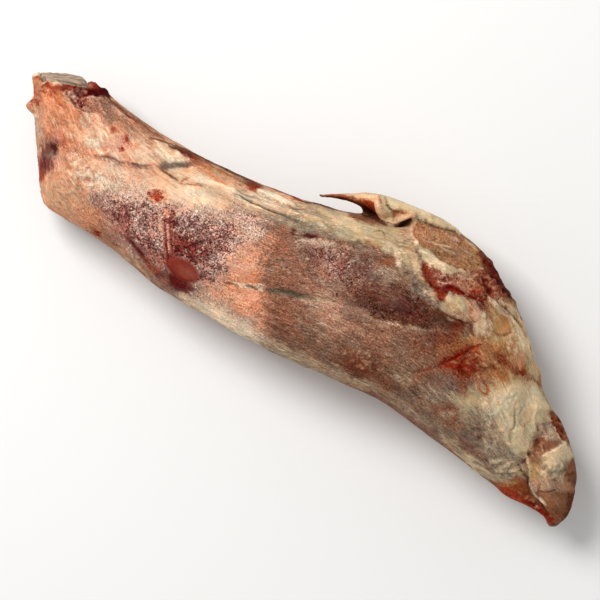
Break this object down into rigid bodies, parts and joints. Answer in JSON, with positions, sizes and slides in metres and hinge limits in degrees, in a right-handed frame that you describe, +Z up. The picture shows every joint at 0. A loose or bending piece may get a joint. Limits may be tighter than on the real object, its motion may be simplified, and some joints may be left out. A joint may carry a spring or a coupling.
{
  "type": "raw lamb foreshank",
  "caption": "Raw lamb foreshank lying on its side: tapering muscle under silverskin and fat, with a sawn knuckle bone at one end and the elbow at the other.",
  "frame": {"origin": "on the resting surface, under the middle of the shank's box", "axes": "+X along the shank from the sawn knuckle to the elbow, +Z up from the resting surface, +Y towards the bulging shoulder muscle"},
  "size_m": [0.2506, 0.0796, 0.0544],
  "materials": {
    "meat": "moist satin",
    "bone": "sawn, matt"
  },
  "bodies": {
    "root": {"meat": "meat", "bone": "bone"}
  },
  "joints": []
}
